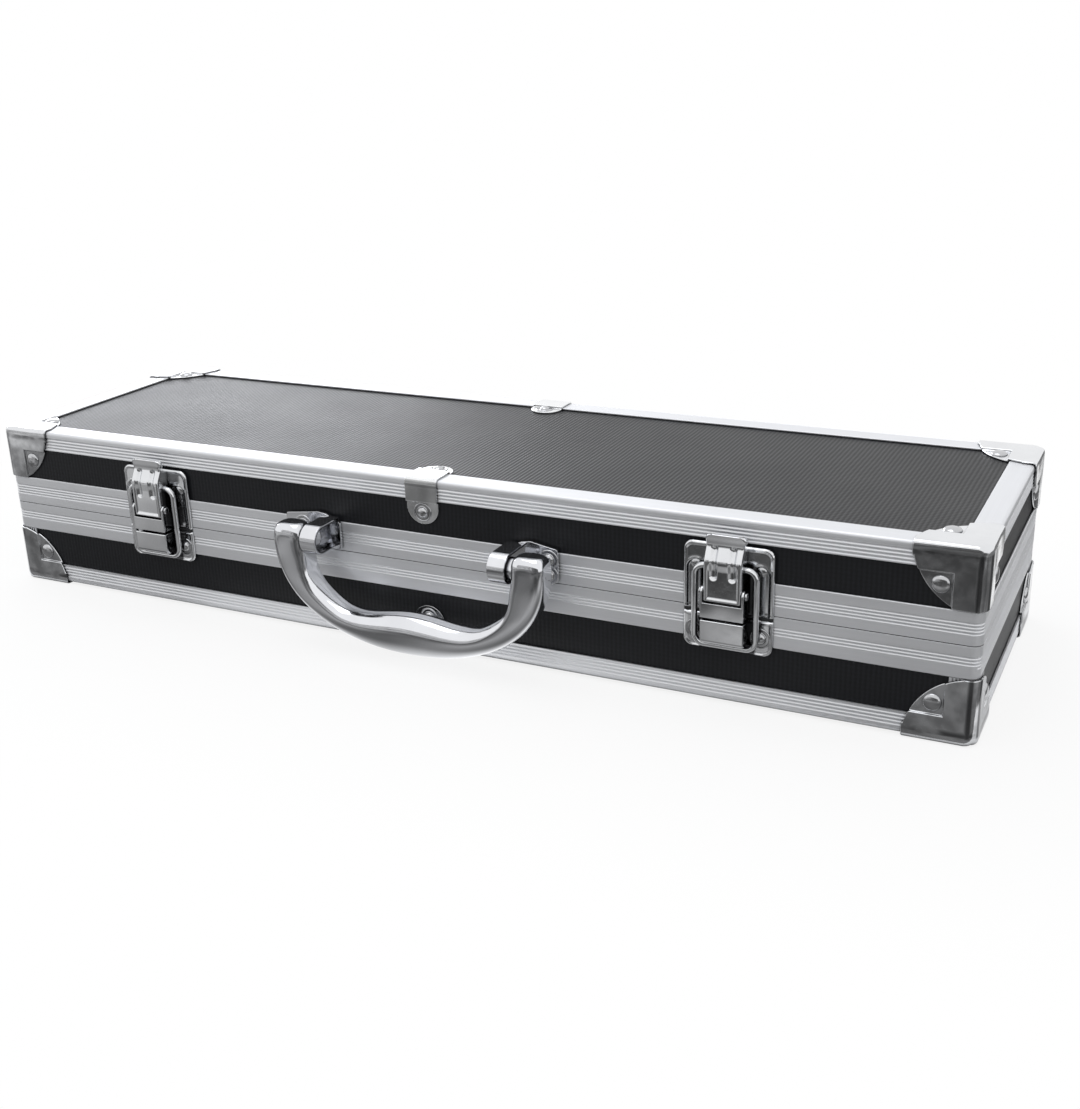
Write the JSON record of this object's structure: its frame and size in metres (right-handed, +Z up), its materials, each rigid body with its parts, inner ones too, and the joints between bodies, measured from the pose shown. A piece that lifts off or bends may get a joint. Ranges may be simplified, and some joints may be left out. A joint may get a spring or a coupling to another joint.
{
  "type": "barbecue tool case",
  "caption": "Long flat tool case of black board in aluminium strip, with steel corner caps, draw latches, a swinging handle, stop hinges and a foam insert with tool pockets.",
  "frame": {"origin": "middle of the footprint on the table, handle and hinges included", "axes": "+X along the length to the right as seen from the handle side, +Y from the handle side to the hinge side, +Z up"},
  "size_m": [0.461, 0.1624, 0.0785],
  "materials": {
    "faced_board": "black embossed facing on board",
    "aluminium_strip": "ribbed strip, satin",
    "chromed_steel": "pressed sheet, bright plated",
    "rivet_steel": "domed heads, bright plated",
    "handle_metal": "plated casting, soft shine",
    "foam": "closed-cell foam, dark"
  },
  "bodies": {
    "base": {"base_bottom_panel": "faced_board", "base_front_panel": "faced_board", "base_back_panel": "faced_board", "base_left_panel": "faced_board", "base_right_panel": "faced_board", "base_front_trim": "aluminium_strip", "base_back_trim": "aluminium_strip", "base_left_trim": "aluminium_strip", "base_right_trim": "aluminium_strip", "base_corner_posts": "aluminium_strip", "base_front_rim": "aluminium_strip", "base_back_rim": "aluminium_strip", "base_left_rim": "aluminium_strip", "base_right_rim": "aluminium_strip", "base_cap_front_left": "chromed_steel", "base_cap_front_right": "chromed_steel", "base_cap_back_left": "chromed_steel", "base_cap_back_right": "chromed_steel", "base_rivets": "rivet_steel", "base_clips": "chromed_steel", "keeper_plate_left": "chromed_steel", "keeper_plate_right": "chromed_steel", "base_hinge_leaf_left": "chromed_steel", "base_hinge_leaf_right": "chromed_steel", "hinge_pins": "chromed_steel", "base_foam_insert": "foam"},
    "lid": {"lid_top_panel": "faced_board", "lid_front_panel": "faced_board", "lid_back_panel": "faced_board", "lid_left_panel": "faced_board", "lid_right_panel": "faced_board", "lid_front_trim": "aluminium_strip", "lid_back_trim": "aluminium_strip", "lid_left_trim": "aluminium_strip", "lid_right_trim": "aluminium_strip", "lid_corner_posts": "aluminium_strip", "lid_front_rim": "aluminium_strip", "lid_back_rim": "aluminium_strip", "lid_left_rim": "aluminium_strip", "lid_right_rim": "aluminium_strip", "lid_cap_front_left": "chromed_steel", "lid_cap_front_right": "chromed_steel", "lid_cap_back_left": "chromed_steel", "lid_cap_back_right": "chromed_steel", "lid_rivets": "rivet_steel", "lid_clips": "chromed_steel", "latch_plate_left": "chromed_steel", "latch_plate_right": "chromed_steel", "latch_pins": "chromed_steel", "handle_bracket_left": "handle_metal", "handle_bracket_right": "handle_metal", "lid_hinge_leaf_left": "chromed_steel", "lid_hinge_leaf_right": "chromed_steel", "lid_foam_pad": "foam"},
    "handle": {"handle": "handle_metal"},
    "lever_left": {"latch_lever_left": "chromed_steel"},
    "lever_right": {"latch_lever_right": "chromed_steel"},
    "bail_left": {"latch_bail_left": "chromed_steel"},
    "bail_right": {"latch_bail_right": "chromed_steel"}
  },
  "joints": [
    {"name": "lid_hinge", "type": "hinge", "parent": "base", "child": "lid", "pos_m": [0, 0.07503, 0.04], "axis": [-1, 0, 0], "range_deg": [0, 100]},
    {"name": "handle_pivot", "type": "hinge", "parent": "lid", "child": "handle", "pos_m": [0, -0.07367, 0.0496], "axis": [-1, 0, 0], "range_deg": [-6, 110]},
    {"name": "lever_left_pivot", "type": "hinge", "parent": "lid", "child": "lever_left", "pos_m": [-0.1387, -0.06587, 0.0489], "axis": [1, 0, 0], "range_deg": [0, 115]},
    {"name": "bail_left_pivot", "type": "hinge", "parent": "lever_left", "child": "bail_left", "pos_m": [-0.1387, -0.06387, 0.0588], "axis": [1, 0, 0], "range_deg": [-138, 0]},
    {"name": "lever_right_pivot", "type": "hinge", "parent": "lid", "child": "lever_right", "pos_m": [0.1351, -0.06587, 0.0489], "axis": [1, 0, 0], "range_deg": [0, 115]},
    {"name": "bail_right_pivot", "type": "hinge", "parent": "lever_right", "child": "bail_right", "pos_m": [0.1351, -0.06387, 0.0588], "axis": [1, 0, 0], "range_deg": [-138, 0]}
  ],
  "couplings": [
    {"joint": "bail_left_pivot", "follows": "lever_left_pivot", "ratio": -1.2},
    {"joint": "bail_right_pivot", "follows": "lever_right_pivot", "ratio": -1.2}
  ]
}
